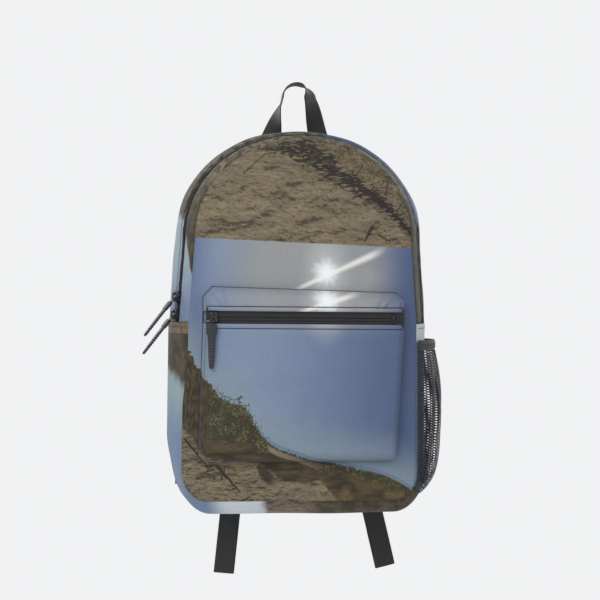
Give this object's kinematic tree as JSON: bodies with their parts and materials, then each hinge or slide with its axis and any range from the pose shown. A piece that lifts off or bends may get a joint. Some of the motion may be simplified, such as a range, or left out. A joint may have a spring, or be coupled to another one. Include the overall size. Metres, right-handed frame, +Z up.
{
  "type": "backpack",
  "caption": "Printed daypack hanging from its top handle, with arched main zip, zipped front pocket, mesh side pocket and two shoulder straps.",
  "frame": {"origin": "inner top of the carry handle's loop, where it rests on a hook", "axes": "+Z up, front of the bag faces -Y, +X to the right seen from the front"},
  "size_m": [0.3517, 0.1869, 0.5992],
  "materials": {
    "printed_cloth": "matt printed polyester",
    "webbing": "woven nylon, matt",
    "zip_tape": "woven, matt",
    "zip_teeth": "moulded coil, half gloss",
    "zip_metal": "dark enamel",
    "pull_rubber": "soft moulded, matt",
    "buckle": "moulded nylon, fine grain",
    "air_mesh": "spacer mesh over foam",
    "foam": "closed cell foam",
    "lining": "plain lining cloth",
    "net": "open knitted net",
    "elastic": "ribbed elastic binding"
  },
  "bodies": {
    "pack": {"front_panel_lower": "printed_cloth", "front_lip_left_end": "printed_cloth", "front_lip_right_end": "printed_cloth", "rear_gusset": "printed_cloth", "base_gusset": "printed_cloth", "pocket_roof": "printed_cloth", "pocket_face": "printed_cloth", "main_zip_rear_tape": "zip_tape", "main_zip_left_end_tape": "zip_tape", "main_zip_right_end_tape": "zip_tape", "pocket_zip_upper_tape": "zip_tape", "pocket_zip_lower_tape": "zip_tape", "main_zip_rear_teeth": "zip_teeth", "main_zip_left_end_teeth": "zip_teeth", "main_zip_right_end_teeth": "zip_teeth", "pocket_zip_teeth": "zip_teeth", "pocket_zip_stop": "zip_metal", "mesh_pocket": "net", "mesh_pocket_binding": "elastic", "back_panel": "lining", "base_lining": "lining", "laptop_sleeve": "lining", "back_foam": "foam", "back_cover": "air_mesh", "shoulder_strap_left": "air_mesh", "shoulder_strap_right": "air_mesh", "strap_yoke": "webbing", "rear_seam_tape": "webbing", "rear_seam_tape_base": "webbing", "front_seam_tape_base": "webbing", "sleeve_binding": "webbing", "sleeve_strap": "webbing", "carry_handle": "webbing", "strap_loop_left": "webbing", "strap_loop_right": "webbing", "strap_lower_webbing_left": "webbing", "strap_lower_webbing_right": "webbing", "strap_anchor_left": "webbing", "strap_anchor_right": "webbing"},
    "front_flap": {"front_panel_upper": "printed_cloth", "front_lip_arch": "printed_cloth", "main_zip_front_tape": "zip_tape", "main_zip_front_teeth": "zip_teeth", "front_seam_tape_arch": "webbing"},
    "main_slider_upper_body": {"main_slider_upper": "zip_metal"},
    "main_slider_lower_body": {"main_slider_lower": "zip_metal"},
    "main_pull_upper_body": {"main_pull_loop_upper": "zip_metal", "main_pull_upper": "pull_rubber"},
    "main_pull_lower_body": {"main_pull_loop_lower": "zip_metal", "main_pull_lower": "pull_rubber"},
    "pocket_slider_body": {"pocket_slider": "zip_metal"},
    "pocket_pull_body": {"pocket_pull_loop": "zip_metal", "pocket_pull": "pull_rubber"},
    "ladder_lock_left_body": {"ladder_lock_left": "buckle", "strap_tail_left": "webbing"},
    "ladder_lock_right_body": {"ladder_lock_right": "buckle", "strap_tail_right": "webbing"}
  },
  "joints": [
    {"name": "front_opens", "type": "hinge", "parent": "pack", "child": "front_flap", "pos_m": [0, -0.114, -0.243], "axis": [1, 0, 0], "range_deg": [0, 80]},
    {"name": "main_slider_upper_slides", "type": "slide", "parent": "pack", "child": "main_slider_upper_body", "axis": [0.0683, 0, 0.9977], "range_m": [0, 0.06]},
    {"name": "main_pull_upper_swings", "type": "hinge", "parent": "main_slider_upper_body", "child": "main_pull_upper_body", "pos_m": [-0.14567, -0.07782, -0.25869], "axis": [-0.3678, 0.9296, 0.0252], "range_deg": [-8, 90]},
    {"name": "main_slider_lower_slides", "type": "slide", "parent": "pack", "child": "main_slider_lower_body", "axis": [0.0683, 0, 0.9977], "range_m": [0, 0.007]},
    {"name": "main_pull_lower_swings", "type": "hinge", "parent": "main_slider_lower_body", "child": "main_pull_lower_body", "pos_m": [-0.14708, -0.07782, -0.27919], "axis": [-0.3678, 0.9296, 0.0252], "range_deg": [-25, 7]},
    {"name": "pocket_slider_slides", "type": "slide", "parent": "pack", "child": "pocket_slider_body", "axis": [1, 0, 0], "range_m": [0, 0.185]},
    {"name": "pocket_pull_swings", "type": "hinge", "parent": "pocket_slider_body", "child": "pocket_pull_body", "pos_m": [-0.105, -0.1372, -0.281], "axis": [-1, 0, 0], "range_deg": [0, 140]},
    {"name": "ladder_lock_left_tilts", "type": "hinge", "parent": "pack", "child": "ladder_lock_left_body", "pos_m": [-0.0667, 0.027, -0.44946], "axis": [0.9954, 0, -0.0958], "range_deg": [0, 35]},
    {"name": "ladder_lock_right_tilts", "type": "hinge", "parent": "pack", "child": "ladder_lock_right_body", "pos_m": [0.08478, 0.027, -0.44679], "axis": [0.9715, 0, 0.2368], "range_deg": [0, 35]}
  ]
}
